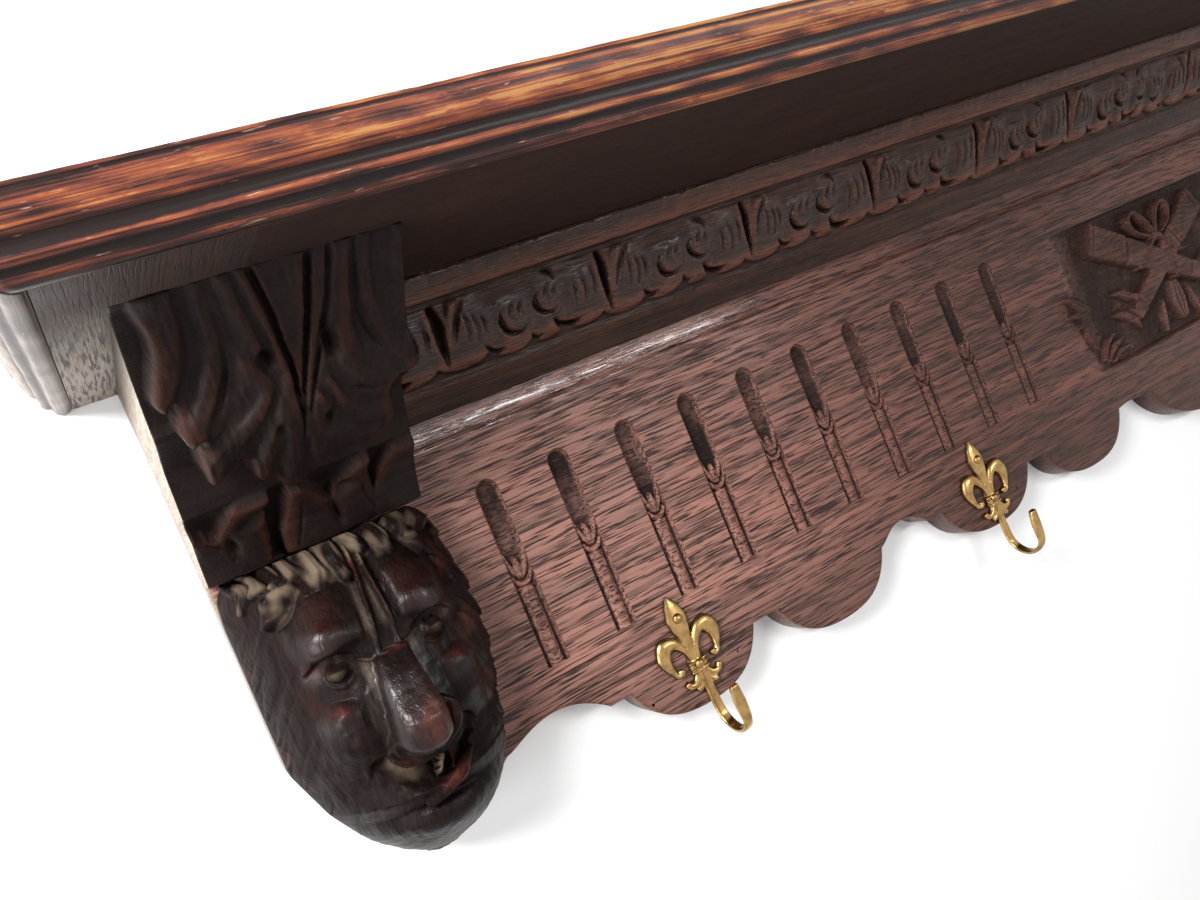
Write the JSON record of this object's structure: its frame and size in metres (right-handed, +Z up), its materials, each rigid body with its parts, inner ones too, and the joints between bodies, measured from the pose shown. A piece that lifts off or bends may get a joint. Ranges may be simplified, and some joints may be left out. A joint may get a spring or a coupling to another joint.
{
  "type": "wall coat rack",
  "caption": "Wall-hung coat rack: a moulded shelf on two carved corbels with lion masks, over a fluted backboard with a scalloped edge and fleur-de-lis hooks.",
  "frame": {"origin": "on the wall face of the backboard, on the rack's centre line, level with the tops of the flutes", "axes": "+X along the rack to the viewer's right, +Y into the wall, +Z up; the front faces -Y"},
  "size_m": [1.315, 0.1945, 0.273],
  "materials": {
    "oak_board": "waxed red-brown oak",
    "dark_oak": "dark stained oak, dull wax",
    "carved_oak": "dark stained oak, polished on the high places",
    "worn_oak": "dark stain worn through to orange-brown oak",
    "brass": "cast, aged"
  },
  "bodies": {
    "root": {"backboard": "oak_board", "shelf_board": "dark_oak", "shelf_end_left": "dark_oak", "shelf_end_right": "dark_oak", "cornice_front": "worn_oak", "cornice_left": "worn_oak", "cornice_right": "worn_oak", "acanthus_rail": "dark_oak", "corbel_left": "dark_oak", "corbel_right": "dark_oak", "lion_mask_left": "carved_oak", "lion_mask_right": "carved_oak", "hook_1": "brass", "hook_1_nail_upper": "brass", "hook_1_nail_lower": "brass", "hook_2": "brass", "hook_2_nail_upper": "brass", "hook_2_nail_lower": "brass", "hook_3": "brass", "hook_3_nail_upper": "brass", "hook_3_nail_lower": "brass", "hook_4": "brass", "hook_4_nail_upper": "brass", "hook_4_nail_lower": "brass"}
  },
  "joints": []
}
